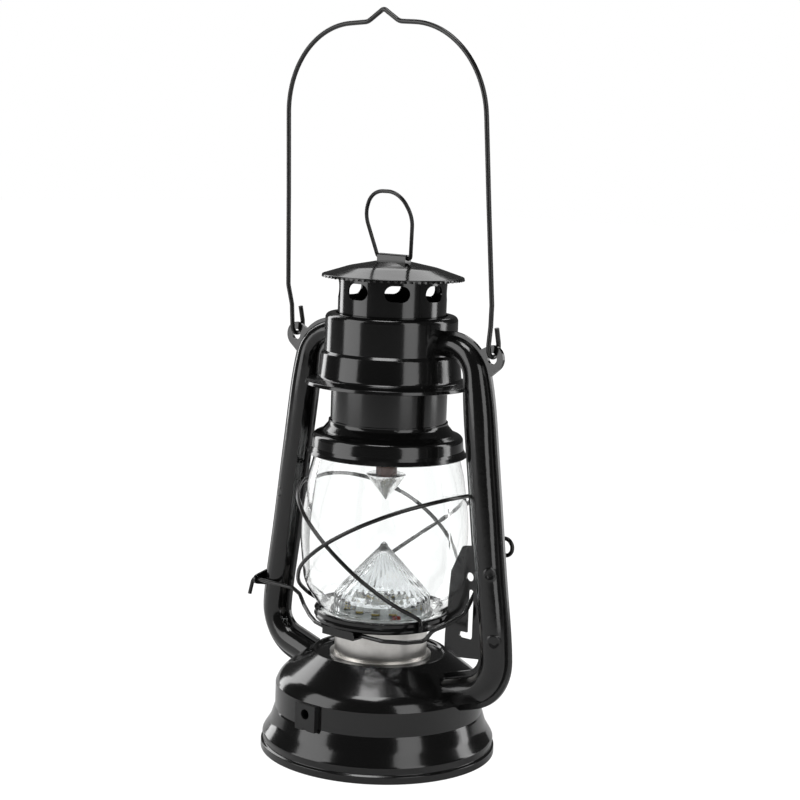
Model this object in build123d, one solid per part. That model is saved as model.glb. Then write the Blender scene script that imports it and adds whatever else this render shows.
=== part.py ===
"""Barn lantern with an electric light: a spun steel base, two pressed side tubes, a canopy,
a glass globe on a lifting plate, a sliding chimney, a lift lever and a wire bail.

Frame: millimetres, +Z up, origin at the centre of the base's bottom. -Y is the front, where
the charging socket is, and +X is the side with the lever's slotted bracket.
"""
from build123d import *
from math import cos, hypot, inf, pi, radians, sin, tan
import os

os.makedirs("parts", exist_ok=True)

# Sheet, wire and clearances
sheet = 0.8                  # thickness of every spun or pressed steel part
rest_gap = 0.2               # between parts that rest on each other across a joint
slide_gap = 0.7              # radial play of the parts that lift past fixed ones
fit_gap = 0.1                # between parts of one assembly that are not face to face
wire_play = 0.6              # play of a wire in its slot or strap

# Base
base_radius = 58.5           # bottom rim
rim_height = 3.4             # rolled rim at the bottom
rim_groove = 1.1             # depth of the groove above the rim
skirt_height = 19.8          # where the flared skirt meets the upright wall
wall_inset = 6.7             # from the bottom rim in to the upright wall
shoulder_height = 32.5       # where the wall turns into the dome
recess_radius = 32.4         # rim of the sunk ring on top of the dome
dome_height = 50.4
recess_depth = 2.8
base_hole_radius = 20.0      # opening under the collar

# Bottom cover, chassis and what they hold
cover_thickness = 1.4
chassis_thickness = 1.6
post_radius = 4.0
post_inset = 8.8             # from the wall in to the cover's screw posts
screw_radius = 1.5
cell_radius = 7.1
cell_length = 50.0
holder_wall = 1.4
board_size = (44.0, 30.0, 1.6)

# Charging socket and switch
socket_rise = 6.4            # centre of the socket plate and of the button above the skirt
plate_width = 12.5
plate_height = 12.9
plate_proud = 2.8            # how far the socket plate stands out of the wall
socket_bore_radius = 2.5
socket_bore_depth = 10.0
socket_bore_rise = 1.6       # bore's centre above the plate's centre
button_radius = 4.0
button_proud = 2.0
button_travel = 1.5

# Collar and light
collar_radius = 23.0
collar_flange_width = 2.3    # how far the collar's foot spreads
collar_flange = 1.0
deck_height = 70.0           # top of the collar, where the light board sits
deck_thickness = 1.4
lens_overhang = 1.2          # how far board and lens reach past the collar
lens_band = 7.0              # height of the lens's upright band
lens_tip = 104.6
lens_wall = 1.6
led_radius = 2.3

# Globe carrier
lift_of_globe = 9.0
plate_depth = 5.0            # from the tray's top to the underside of the globe plate
plate_margin = 1.3           # from the glass's foot out to the plate's rim
plate_rim_height = 6.0
tray_height = 70.4           # top of the bright tray, where the glass stands
glass_wall = 1.6
glass_foot_radius = 31.7
glass_belly_radius = 42.2
glass_belly_height = 112.0
glass_top = 152.3
glass_top_radius = 35.2

# Guard wires round the globe
hoop_wire = 2.0
hoop_middle = 109.0          # height at which the two guard wires cross
hoop_rise = 31.0             # how steeply each climbs from its low side to its high side
hoop_bow = 7.0               # how far both sides droop from that straight slant
hoop_pinch = 14.0            # how fast a wire closes in on the glass's foot at its low side
hoop_opening = 22.0          # half angle left open at the low side, degrees

# Chimney
lift_of_chimney = 10.0
bell_margin = 4.2            # from the glass's top out to the bell's rim
bell_overlap = 3.2           # how far the bell comes down over the glass
bell_rise = 6.6              # from the glass's top to the bell's shoulder
neck_radius = 28.5
neck_step = 2.0              # how much the drum is narrower than the neck
neck_drop = 27.8             # from the canopy's top down to that step
vent_lift = 11.4             # from the canopy's top up to the middle of the vents
vent_width = 12.2
vent_rise = 7.8
vent_count = 8
cap_overhang = 8.2           # from the drum out to the cap's edge
cap_lift = 18.0              # from the canopy's top up to the cap's edge
cap_rise = 7.4
cap_flat_radius = 9.0
reflector_radius = 9.9
reflector_drop = 13.5        # from the glass's top down to the cone's base
reflector_depth = 13.2
stem_radius = 5.2

# Canopy
canopy_over_glass = 65.5     # from the glass's top up to the canopy's top
canopy_rise = 34.6           # from the rim to the top
canopy_neck_rise = 18.8      # from the step to the top
canopy_room = 5.9            # from the drum out to the canopy's neck
canopy_step = 2.2            # how much the middle is wider than the neck
canopy_flare = 6.8           # and the rim than the middle
spring_wire = 1.0
spring_turns = 4

# Side tubes
leg_lean = 0.1326            # how far a leg leans in for each millimetre up
elbow_standoff = 21.5        # from the base's wall out to the corner of the lower bend
elbow_height = 46.0
run_slope = 0.3              # how the lower run falls towards the base
tube_drop = 11.5             # from the canopy's top to the centre line where a tube enters
lower_bend = 18.0
upper_bend = 17.0
flange_half = 9.4            # half the width over the seam flanges
flange_half_top = 6.0
tube_half = 7.1              # half the width of the hollow body
tube_half_top = 4.4
tube_depth = 7.2             # how far each pressed half stands out
tube_depth_top = 4.8
ear_standoff = 9.8856        # from the leg's centre line out to the ear's hole
ear_drop = 4.3               # from the tube's entry down to the ear
ear_radius = 6.3
ear_hole_radius = 2.7

# Bail
bail_wire = 2.3
bail_eye_radius = 3.8
bail_eye_height = 13.0       # from the pivot up to where the eye closes on the leg
bail_lean = 4.05             # degrees that the bail leans to the front
bail_height = 155.6          # from the pivot to the peak
bail_shoulder = 148.2
bail_foot_out = 2.2          # how far the feet stand outside the ears
bail_shift = -1.2            # sideways play taken up to the left
bail_front = 2.6             # how far the wire's legs pass in front of the pivots
bail_taper = 4.2             # how much narrower the bail is at its shoulder

# Lift ring
ring_wire = 1.9
ring_half_foot = 10.4
ring_half = 15.0
ring_height = 33.0
ring_lean = 14.0             # degrees that the ring leans to the front
saddle_length = 18.0
saddle_width = 4.4
saddle_height = 3.6

# Lift lever
lever_wire = 2.0
lever_front = -8.5           # y of the lever's pivot line
lever_rise = 7.1             # the lever's pivot line above the globe plate's underside
crank_front = -27.3
crank_drop = 1.9             # and its cross wire below it
bracket_thickness = 1.0
slot_inset = 14.5165         # from the leg's centre line in to the slot
slot_drop = 5.6              # the slot's foot below the lever's pivot line
slot_length = 21.4
slot_reach = 4.6             # how far the slot's foot runs to the side
keyhole_radius = 2.2
keyhole_rise = 7.6           # above the slot's top
strap_length = 20.0
strap_middle = -1.0
lug_thickness = 1.2
lug_half = 2.5



def leg_x(z):
    """Centre line of the right leg at a height."""
    return elbow_reach - leg_lean * (z - elbow_height)


# Heights and radii that follow
wall_radius = base_radius - wall_inset
elbow_reach = wall_radius + elbow_standoff
canopy_top = glass_top + canopy_over_glass
reflector_base = glass_top - reflector_drop
reflector_tip = reflector_base - reflector_depth
post_circle = wall_radius - post_inset
socket_height = skirt_height + socket_rise
collar_flange_radius = collar_radius + collar_flange_width
lens_radius = collar_radius + lens_overhang
plate_base = tray_height - plate_depth
plate_rim_radius = glass_foot_radius + plate_margin
hoop_radius = glass_belly_radius + hoop_wire / 2     # of the inner wire; the other passes outside
bell_rim_radius = glass_top_radius + bell_margin
bell_rim_height = glass_top - bell_overlap
bell_shoulder = glass_top + bell_rise
drum_radius = neck_radius - neck_step
neck_top = canopy_top - neck_drop
vent_height = canopy_top + vent_lift
cap_radius = drum_radius + cap_overhang
cap_rim = canopy_top + cap_lift
cap_top = cap_rim + cap_rise
canopy_rim = canopy_top - canopy_rise
canopy_step_height = canopy_top - canopy_neck_rise
canopy_neck_radius = drum_radius + canopy_room
canopy_step_radius = canopy_neck_radius + canopy_step
canopy_rim_radius = canopy_step_radius + canopy_flare
tube_top = canopy_top - tube_drop
ear_height = tube_top - ear_drop
ear_reach = leg_x(ear_height) + ear_standoff
bail_foot_half = ear_reach + bail_foot_out
bail_top_half = bail_foot_half - bail_taper
lever_height = plate_base + lever_rise
crank_height = plate_base - crank_drop
slot_foot = lever_height - slot_drop
slot_top = slot_foot + slot_length
slot_x = leg_x((slot_foot + slot_top) / 2) - slot_inset
keyhole_height = slot_top + keyhole_rise
recess_floor = dome_height - recess_depth
deck_top = deck_height + deck_thickness
chassis_top = skirt_height
chassis_base = chassis_top - chassis_thickness
plate_bore = lens_radius + slide_gap
ear_band = (ear_radius + ear_hole_radius) / 2
pivot_height = ear_height + ear_band
wall_inside = wall_radius - sheet


def save(part, name):
    """Writes one sub-part to its own file."""
    export_step(part, f"parts/{name}.step")
    return part


def group(solids):
    """Several separate solids kept in one sub-part."""
    return Compound(children=list(solids))


def spun(points, radii, wall=sheet):
    """Sheet turned about Z. points are (radius, height) along its outer face, with the wall
    to their left, and radii round their corners."""
    outer = [Vector(*point) for point in points]
    runs = [(after - before).normalized() for before, after in zip(outer, outer[1:])]
    lefts = [Vector(-run.Y, run.X) for run in runs]
    turns = [first.cross(second).Z for first, second in zip(runs, runs[1:])]
    inner = [outer[0] + lefts[0] * wall]
    for corner, first, second in zip(outer[1:], lefts, lefts[1:]):
        middle = (first + second).normalized()
        inner.append(corner + middle * (wall / middle.dot(first)))
    inner.append(outer[-1] + lefts[-1] * wall)
    inner_radii = [max(0, radius - wall if turn > 0 else radius + wall)
                   for radius, turn in zip(radii, turns)]
    edges = FilletPolyline(*outer, radius=radii).edges()
    edges += FilletPolyline(*inner, radius=inner_radii).edges()
    edges += [Line(outer[0], inner[0]), Line(outer[-1], inner[-1])]
    return revolve(Plane.XZ * make_face(edges), Axis.Z)


def turned(points):
    """Solid turned about Z from a closed outline of (radius, height) points."""
    return revolve(Plane.XZ * make_face(Polyline(*points, close=True)), Axis.Z)


def ring(inner, outer, low, high):
    """Flat ring or short tube between two radii and two heights."""
    return turned([(inner, low), (outer, low), (outer, high), (inner, high)])


def disc(radius, low, high):
    """Round plate or rod standing on Z."""
    return Pos(0, 0, (low + high) / 2) * Cylinder(radius, high - low)


def wire_path(points, largest=inf):
    """Straight runs joined by tangent arcs, each as large as its two runs allow."""
    corners = [Vector(*point) for point in points]
    radii = []
    for before, corner, after in zip(corners, corners[1:], corners[2:]):
        run_in, run_out = corner - before, after - corner
        half_turn = radians(run_in.get_angle(run_out)) / 2
        room = 0.45 * min(run_in.length, run_out.length)
        radii.append(min(room / tan(half_turn), largest))
    return FilletPolyline(*corners, radius=radii)


def round_wire(points, diameter, largest=inf):
    """Round wire bent along the points."""
    path = wire_path(points, largest)
    section = Plane(origin=path @ 0, z_dir=path % 0) * Circle(diameter / 2)
    return sweep(section, path=path)


def mirrored_in_x(points):
    """The points followed by their mirror images in reverse, for a symmetric wire."""
    return points + [(-x, y, z) for x, y, z in reversed(points)]


# ---------------------------------------------------------------- base

def base_profile():
    """Outer line of the base, from its bottom edge to the hole in the sunk ring."""
    neck = base_radius - rim_groove
    return [(base_radius, 0), (base_radius, rim_height), (neck, rim_height + 0.8),
            (base_radius - 0.6, 7.6), (wall_radius + 2.3, 13.8), (wall_radius + 0.4, skirt_height),
            (wall_radius, skirt_height + 1), (wall_radius, shoulder_height),
            (wall_radius - 2.0, shoulder_height + 4.7), (recess_radius, dome_height),
            (recess_radius - 1.2, recess_floor), (base_hole_radius, recess_floor)]


BASE_RADII = [0.4, 0.4, 2.4, 9.0, 1.0, 0.6, 1.5, 12.0, 1.2, 1.0]


def base_shell():
    shell = spun(base_profile(), BASE_RADII)
    window = Pos(0, -wall_radius, socket_height) * Box(plate_width - 2.4, 8, plate_height - 2.4)
    hole = Pos(0, wall_radius, socket_height) * Rot(90, 0, 0) * Cylinder(button_radius + 0.3, 8)
    return shell - window - hole


def filled(profile, radii):
    """Solid inside an outer line of revolution, a little larger than it, for trimming."""
    line = FilletPolyline(*profile, radius=radii)
    low, high = profile[0][1], profile[-1][1]
    closing = Polyline(profile[-1], (0, high), (0, low), profile[0])
    solid = revolve(Plane.XZ * make_face(line.edges() + closing.edges()), Axis.Z)
    growth = 1 + 2 * fit_gap / wall_radius
    return scale(solid, by=(growth, growth, 1))


def post_places():
    return PolarLocations(post_circle, 3, start_angle=30)


def bottom_cover():
    cover = disc(base_radius - sheet - fit_gap, 0, cover_thickness)
    for place in post_places():
        head = place * Pos(0, 0, 0.6) * Cylinder(2 * screw_radius + 0.2, 1.2)
        cover -= head + place * Cylinder(screw_radius + 0.2, 8)
    return cover


def cover_screws():
    """Countersunk screws that hold the cover to the chassis posts."""
    screws = []
    for place in post_places():
        head = Pos(0, 0, 0.75) * Cylinder(2 * screw_radius, 0.7)
        shank = Pos(0, 0, 5.5) * Cylinder(screw_radius, 9.0)
        slot = Pos(0, 0, 0.4) * Box(4 * screw_radius, 0.7, 0.5)
        screws.append(place * (head + shank - slot))
    return group(screws)


def inner_chassis():
    """Plastic plate across the base, with posts down to the bottom cover."""
    plate = disc(wall_inside - fit_gap, chassis_base, chassis_top)
    for place in post_places():
        length = chassis_base - cover_thickness
        post = place * Pos(0, 0, cover_thickness + length / 2) * Cylinder(post_radius, length)
        bore = place * Pos(0, 0, cover_thickness + 5) * Cylinder(screw_radius + 0.05, 10.2)
        plate = plate + post - bore
    passage = Pos(0, 18, chassis_base) * Cylinder(3, 8)
    return plate - passage


cell_pitch = 2 * cell_radius + 0.8
holder_length = cell_length + 2 * (holder_wall + 1.0)
holder_width = 3 * cell_pitch + 2 * holder_wall
holder_depth = 2 * cell_radius + 0.4 + holder_wall
cell_height = chassis_base - holder_wall - 0.2 - cell_radius


def battery_holder():
    """Tray under the chassis, open downwards, that takes three cells side by side."""
    outer = Box(holder_length, holder_width, holder_depth)
    room = Pos(0, 0, -holder_wall) * Box(holder_length - 2 * holder_wall, 3 * cell_pitch, holder_depth)
    return Pos(0, 0, chassis_base - holder_depth / 2) * (outer - room)


def battery_cells():
    can = Rot(0, 90, 0) * Cylinder(cell_radius, cell_length - 1.2)
    nipple = Pos(cell_length / 2 - 0.6, 0, 0) * Rot(0, 90, 0) * Cylinder(2.6, 1.2)
    cell = can + nipple
    return group(Pos(0, row * cell_pitch, cell_height) * Rot(0, 0, 180 * (row % 2)) * cell
                 for row in (-1, 0, 1))


def battery_contacts():
    """Thin plates at both ends of each cell."""
    reach = holder_length / 2 - holder_wall - 0.25
    return group(Pos(end * reach, row * cell_pitch, cell_height) * Box(0.4, 9, 9)
                 for end in (-1, 1) for row in (-1, 0, 1))


def control_board():
    """Charging and switching board on stand-offs above the chassis."""
    length, width, thickness = board_size
    height = chassis_top + 3.0
    board = Pos(0, 0, height + thickness / 2) * Box(length, width, thickness)
    for x in (-length / 2 + 4, length / 2 - 4):
        for y in (-width / 2 + 4, width / 2 - 4):
            board += Pos(x, y, chassis_top + 1.5) * Cylinder(2, 3)
    top = height + thickness
    board += Pos(-12, 4, top + 3) * Cylinder(4, 6)
    board += Pos(8, -5, top + 1) * Box(9, 7, 2)
    board += Pos(14, 7, top + 1.5) * Box(7, 6, 3)
    return board


def led_wires():
    """Two leads from the board up through the collar to the light."""
    start = chassis_top + 3.0 + board_size[2]
    leads = []
    for side in (-3, 3):
        route = [(side, 6, start), (side, 6, start + 10), (side, 0, start + 26), (side, 0, deck_height)]
        leads.append(round_wire(route, 1.4))
    return group(leads)


def charging_jack():
    """Socket plate outside the wall, its neck through the window and its body inside."""
    face = -(wall_radius + plate_proud)
    plate = Pos(0, face + 3, socket_height) * Box(plate_width, 6, plate_height)
    plate -= Cylinder(wall_radius + 0.05, 200) + disc(wall_radius + 0.7, 0, skirt_height + 1.3)
    notch = Pos(0, face, socket_height - plate_height / 2) * Box(2.4, 1.6, 1.6)
    neck_length = plate_proud + 13
    neck = Pos(0, face + neck_length / 2 + 1, socket_height) * Box(plate_width - 3, neck_length - 2,
                                                                   plate_height - 3)
    foot_top = socket_height - (plate_height - 3) / 2
    foot = Pos(0, face + neck_length - 3, (chassis_top + foot_top) / 2) * Box(
        plate_width - 3, 6, foot_top - chassis_top)
    bore = Pos(0, face + socket_bore_depth / 2, socket_height + socket_bore_rise) * Rot(90, 0, 0)
    return plate + neck + foot - notch - bore * Cylinder(socket_bore_radius, socket_bore_depth)


def switch_housing():
    """Box on the chassis behind the wall, with a blind bore for the button."""
    depth = 9.5
    back = wall_inside - 0.9 - depth
    top = socket_height + button_radius + 1.8
    box = Pos(0, back + depth / 2, (chassis_top + top) / 2) * Box(13, depth, top - chassis_top)
    bore = Pos(0, back + depth / 2 + 1.5, socket_height) * Rot(90, 0, 0)
    return box - bore * Cylinder(button_radius + 0.15, depth)


def switch_button():
    length = 7.4 + button_proud
    outer_end = wall_radius + button_proud
    button = Rot(90, 0, 0) * Cylinder(button_radius, length)
    button = fillet(button.edges().group_by(Axis.Y)[-1], 0.8)
    return Pos(0, outer_end - length / 2, socket_height) * button


# ---------------------------------------------------------------- collar and light

def collar_ring():
    flange = ring(collar_radius - sheet, collar_flange_radius, recess_floor, recess_floor + collar_flange)
    return flange + ring(collar_radius - sheet, collar_radius, recess_floor, deck_height)


def led_board():
    return disc(lens_radius, deck_height, deck_top)


def leds():
    """Clear dome lamps in two rings and one in the middle."""
    bulb = Cylinder(led_radius, 2.6) + Pos(0, 0, 1.3) * Sphere(led_radius)
    lift = Pos(0, 0, deck_top + 1.3)
    bulb = bulb & Pos(0, 0, 3.7) * Box(10, 10, 10)
    places = [*PolarLocations(17, 12), *PolarLocations(8.5, 5), Location((0, 0, 0))]
    return group(place * lift * bulb for place in places)


lens_slope = (lens_tip - deck_top - lens_band) / (lens_radius - 0.8)


def lens_cone():
    """Clear cone lens on an upright band, hollow over the lamps."""
    band_top = deck_top + lens_band
    outer = turned([(0, deck_top), (lens_radius, deck_top), (lens_radius, band_top - 0.8),
                    (lens_radius - 0.8, band_top), (0.6, lens_tip - 0.6), (0, lens_tip)])
    room = turned([(0, deck_top - 1), (lens_radius - lens_wall, deck_top - 1),
                   (lens_radius - lens_wall, band_top - lens_wall),
                   (0, band_top - lens_wall + lens_slope * (lens_radius - lens_wall))])
    return outer - room


# ---------------------------------------------------------------- side tubes

def tube_line():
    """Centre line of the right tube in its own plane, from the base to the canopy."""
    inner = wall_radius - 7.8
    start = (inner, elbow_height - run_slope * (elbow_reach - inner))
    return FilletPolyline(start, (elbow_reach, elbow_height), (leg_x(tube_top), tube_top),
                          (canopy_neck_radius - 3, tube_top), radius=[lower_bend, upper_bend])


def tube_stations():
    """Points along the centre line: closer together round the bends."""
    line = tube_line()
    stations = []
    for edge in line.edges():
        steps = 6 if edge.geom_type == GeomType.CIRCLE else 4
        stations += [(edge @ (i / steps), edge % (i / steps)) for i in range(steps)]
    return stations + [(line @ 1, line % 1)]


def narrowing(point):
    """0 along the leg, rising to 1 where the tube enters the canopy."""
    start = tube_top - 26
    reach = hypot(max(0, point.Y - start), max(0, leg_x(start) - point.X) if point.Y > start else 0)
    full = hypot(26, leg_x(start) - canopy_neck_radius)
    return min(1, reach / full)


def between(low, high, share):
    return low + (high - low) * share


def tube_body(shrink):
    """Hollow part of the tube as a loft of ovals, smaller all round by shrink."""
    sections = []
    for point, along in tube_stations():
        share = narrowing(point)
        half = between(tube_half, tube_half_top, share) - shrink
        depth = between(tube_depth, tube_depth_top, share) - shrink
        place = Plane(origin=(point.X, 0, point.Y), x_dir=(-along.Y, 0, along.X),
                      z_dir=(along.X, 0, along.Y))
        sections.append(place * Ellipse(half, depth))
    return loft(sections)


def seam_flange():
    """Flat flange round the tube, both halves thick, with the ear for the bail."""
    left, right = [], []
    for point, along in tube_stations():
        half = between(flange_half, flange_half_top, narrowing(point))
        side = Vector(-along.Y, along.X) * half
        left.append(point + side)
        right.append(point - side)
    outline = [Spline(*left), Spline(*right), Line(left[0], right[0]), Line(left[-1], right[-1])]
    plate = make_face(outline)
    ear = Pos(ear_reach, ear_height) * Circle(ear_radius)
    root = Pos(leg_x(ear_height - 6) - 0.5, ear_height - 6) * Circle(7.5)
    plate += make_hull(ear.edges() + root.edges())
    plate -= Pos(ear_reach, ear_height) * Circle(ear_hole_radius)
    return extrude(Plane.XZ * plate, amount=sheet, both=True)


def right_tube():
    """Whole right tube, trimmed where it meets the base and the canopy."""
    tube = seam_flange() + tube_body(0) - tube_body(sheet)
    tube -= filled(base_profile()[:-1], BASE_RADII[:-1])
    return tube - filled(canopy_profile(), CANOPY_RADII)


def halves(tube):
    """Front and back pressings of a tube, meeting at the seam."""
    room = 400
    front = tube & Pos(0, -room / 2, 0) * Box(room, room, 2 * room)
    back = tube & Pos(0, room / 2, 0) * Box(room, room, 2 * room)
    return largest_solid(front), largest_solid(back)


def largest_solid(shape):
    return max(shape.solids(), key=lambda solid: solid.volume)


def lever_bracket():
    """Slotted plate on the right tube's inner flange, which guides the lever's arm."""
    overlap = flange_half - tube_half - 0.3

    def flange_edge(z):
        return leg_x(z) - flange_half * hypot(1, leg_lean) + overlap

    low, high = slot_foot - 9.7, keyhole_height + 15.0
    outline = [(flange_edge(low), low), (flange_edge(high - 5), high - 5), (slot_x + 1, high + 0.5),
               (slot_x - 6, high - 0.5), (slot_x - 12.5, keyhole_height + 1),
               (slot_x - 14.8, low + 8), (slot_x - 14.8, low + 1), (slot_x - 7, low - 2)]
    plate = make_face(FilletPolyline(*outline, radius=2.2, close=True))
    half_slot = lever_wire / 2 + wire_play
    rise = slot_top - slot_foot
    slot = Pos(slot_x, (slot_top + slot_foot) / 2) * Rectangle(2 * half_slot, rise)
    slot += Pos(slot_x, slot_top) * Circle(half_slot)
    slot += Pos(slot_x - slot_reach / 2, slot_foot) * Rectangle(slot_reach, 2 * half_slot)
    slot += Pos(slot_x - slot_reach, slot_foot) * Circle(half_slot)
    slot += Pos(slot_x, slot_foot) * Circle(half_slot)
    plate -= slot + Pos(slot_x - 1, keyhole_height) * Circle(keyhole_radius)
    return Pos(0, sheet, 0) * extrude(Plane.XZ * plate, amount=-bracket_thickness)


def lug_face():
    """Distance out to the lug's side face, just inside the left tube's flange edge."""
    return leg_x(lever_height) + flange_half * hypot(1, leg_lean) - 0.3


def lever_lug():
    """Eye tab standing forward on the left tube's flange, which carries the lever's end."""
    eye = Pos(-lever_front, lever_height)
    foot = Pos(sheet + 0.5, lever_height) * Rectangle(1, 2 * lug_half + 3)
    tab = make_hull((eye * Circle(lug_half)).edges() + foot.edges()) - eye * Circle(lever_wire / 2 + 0.05)
    inner_face = Plane(origin=(lug_thickness - lug_face(), 0, 0), x_dir=(0, -1, 0), z_dir=(-1, 0, 0))
    return extrude(inner_face * tab, amount=lug_thickness)


# ---------------------------------------------------------------- canopy

def canopy_profile():
    return [(canopy_rim_radius, canopy_rim), (canopy_rim_radius - 0.6, canopy_rim + 1.5),
            (canopy_step_radius + 0.6, canopy_rim + 3.2),
            (canopy_step_radius - 0.7, canopy_step_height - 0.8),
            (canopy_neck_radius + 0.2, canopy_step_height + 0.6),
            (canopy_neck_radius, canopy_top), (drum_radius + slide_gap + 0.2, canopy_top)]


CANOPY_RADII = [0.5, 2.0, 0.8, 0.3, 2.6]


def canopy():
    return spun(canopy_profile(), CANOPY_RADII)


seat_base = neck_top + 1.6
seat_thickness = 1.0


def spring_seat():
    """Washer on the chimney tube's shoulder that the return spring pushes on."""
    outer = canopy_neck_radius - sheet - 0.6
    return ring(drum_radius + 0.5, outer, seat_base, seat_base + seat_thickness)


def return_spring():
    """Coil spring between the seat and the canopy's top, with wide open turns."""
    low = seat_base + seat_thickness + spring_wire / 2 + 0.05
    high = canopy_top - sheet - spring_wire / 2 - 0.05
    radius = (drum_radius + canopy_neck_radius - sheet) / 2
    coil = Helix(pitch=(high - low) / spring_turns, height=high - low, radius=radius,
                 center=(0, 0, low))
    section = Plane(origin=coil @ 0, z_dir=coil % 0) * Circle(spring_wire / 2)
    return sweep(section, path=coil, is_frenet=True)


# ---------------------------------------------------------------- globe carrier

def globe_plate():
    """Pressed plate with an inner upstand and a beaded rim."""
    floor = plate_base + sheet
    rim_top = plate_base + plate_rim_height
    bead = plate_base + 2.6
    rim = plate_rim_radius
    return turned([(plate_bore, plate_base), (rim - 0.8, plate_base), (rim, plate_base + 0.8),
                   (rim, bead - 0.8), (rim + 0.7, bead), (rim, bead + 0.8), (rim, rim_top - 1.2),
                   (rim + 0.6, rim_top - 0.6), (rim, rim_top), (rim - sheet, rim_top),
                   (rim - sheet, floor), (plate_bore + sheet, floor),
                   (plate_bore + sheet, tray_height - 0.6), (plate_bore, tray_height - 0.6)])


def reflector_tray():
    """Bright ring in the plate, on which the glass stands."""
    return ring(plate_bore + sheet + 0.1, plate_rim_radius - sheet - 0.15, plate_base + sheet,
                tray_height)


def globe_glass():
    """Barrel-shaped glass, open at both ends."""
    outline = [(glass_foot_radius, tray_height), (glass_foot_radius, tray_height + 2),
               (glass_belly_radius - 2.9, tray_height + 14),
               (glass_belly_radius, glass_belly_height),
               (glass_belly_radius - 3.8, glass_top - 14.3),
               (glass_top_radius, glass_top - 2), (glass_top_radius, glass_top)]
    return spun(outline, [2.5, 18.0, 90.0, 30.0, 3.0], glass_wall)


def wire_strap():
    """Channel under the plate's front edge that holds the lever's cross wire."""
    reach = hypot(crank_front - lever_front, crank_height - lever_height)
    half_wire = lever_wire / 2
    front = lever_front - reach - half_wire - 0.5
    back = crank_front + half_wire + 0.5
    low = crank_height - half_wire - 0.35
    middle = (front + back) / 2
    height = plate_base - low + sheet
    channel = Pos(0, middle, plate_base - height / 2) * Box(strap_length, back - front + 2 * sheet, height)
    room = Pos(0, middle, low + height / 2) * Box(strap_length + 2, back - front, height)
    return Pos(strap_middle, 0, 0) * (channel - room)


def guard_hoop(side):
    """Wire that circles the globe on a slant, high on one side, with its ends on the plate.
    side is +1 where the high side is +X, and that wire passes outside the other."""
    steps = 14
    start = radians(hoop_opening)
    foot = plate_rim_radius + hoop_wire / 2 + 0.65
    swell = 1 / cos((pi - start) / steps)
    pass_over = hoop_wire + fit_gap + 0.1 if side > 0 else 0
    bows = []
    for i in range(steps + 1):
        angle = pi - start - (2 * pi - 2 * start) * i / steps
        share = cos(angle)
        radius = hoop_radius - hoop_pinch * max(0, -share - 0.35) ** 2
        radius = swell * (radius + pass_over * max(0, 1 - (share / 0.75) ** 2))
        height = hoop_middle + hoop_rise * share - hoop_bow * share ** 2
        bows.append((side * radius * share, radius * sin(angle), height))
    foot_y = foot * sin(radians(17))
    foot_x = -side * foot * cos(radians(17))
    seat = tray_height + 0.2
    ends = [(foot_x, foot_y, plate_base + 1.2), (foot_x, foot_y, seat)]
    other = [(x, -y, z) for x, y, z in reversed(ends)]
    return round_wire(ends + bows + other, hoop_wire)


# ---------------------------------------------------------------- chimney

cap_slope = (cap_top - cap_rim - 0.6) / (cap_radius - cap_flat_radius)
cap_middle = (cap_radius + cap_flat_radius) / 2
cap_bulge = 0.8              # how far the cap's cone swells above a straight one
cap_edge_slope = cap_slope + cap_bulge / (cap_radius - cap_middle)


def cap_underside(radius):
    """Height of the cap's underside over a radius of its outer half."""
    top = cap_rim + 0.6 + (cap_radius - radius) * cap_edge_slope
    return top - sheet * hypot(1, cap_edge_slope)


def chimney_tube():
    """Neck and drum in one piece, with oblong vents round the drum."""
    top = cap_underside(drum_radius) - 0.05
    tube = spun([(neck_radius, bell_shoulder - 1.5), (neck_radius, neck_top),
                 (drum_radius, neck_top + 2), (drum_radius, top)], [0.9, 0.9])
    for i in range(vent_count):
        vent = SlotOverall(vent_width, vent_rise)
        cut = extrude(Plane.XZ * Pos(0, vent_height) * vent, amount=2 * drum_radius)
        tube -= Rot(0, 0, 360 * i / vent_count) * cut
    return tube


def bell():
    """Flared skirt over the top of the glass."""
    neck = neck_radius + sheet + 0.05
    return spun([(bell_rim_radius, bell_rim_height), (bell_rim_radius - 1.2, bell_rim_height + 1.7),
                 (bell_rim_radius - 1.9, bell_rim_height + 3.2), (bell_rim_radius - 2.4, bell_shoulder - 0.6),
                 (neck + 3.2, bell_shoulder + 1.2), (neck, bell_shoulder + 5.0),
                 (neck, bell_shoulder + 6.5)],
                [0.7, 1.0, 2.8, 3.6, 2.6])


deflector_base = glass_top + rest_gap


def deflector_plate():
    """Disc in the bell that rests on the glass and carries the upper reflector."""
    plate = disc(bell_rim_radius - 2.3 - sheet - 0.5, deflector_base, deflector_base + sheet)
    for i in range(6):
        plate -= Rot(0, 0, 60 * i + 30) * Pos(21, 0, deflector_base) * Cylinder(4, 4)
    return plate


def reflector_stem():
    return disc(stem_radius, reflector_base, deflector_base)


def reflector_cone():
    return turned([(0, reflector_base), (reflector_radius, reflector_base),
                   (reflector_radius, reflector_base - 0.8), (0.4, reflector_tip), (0, reflector_tip)])


def cap():
    """Shallow cone over the drum, with a turned-down edge and a flat top."""
    return spun([(cap_radius, cap_rim - 0.6), (cap_radius, cap_rim + 0.6),
                 (cap_middle, cap_rim + 0.6 + cap_edge_slope * (cap_radius - cap_middle)),
                 (cap_flat_radius, cap_top), (0, cap_top)], [0.5, 30.0, 6.0])


bar_height = cap_top + saddle_height / 2


def ring_saddle():
    saddle = Pos(0, 0, bar_height) * Box(saddle_length, saddle_width, saddle_height)
    saddle = fillet(saddle.edges().filter_by(Axis.X).group_by(Axis.Z)[-1], 1.2)
    return saddle - Pos(0, 0, bar_height) * Rot(0, 90, 0) * Cylinder(ring_wire / 2 + 0.15, 40)


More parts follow.
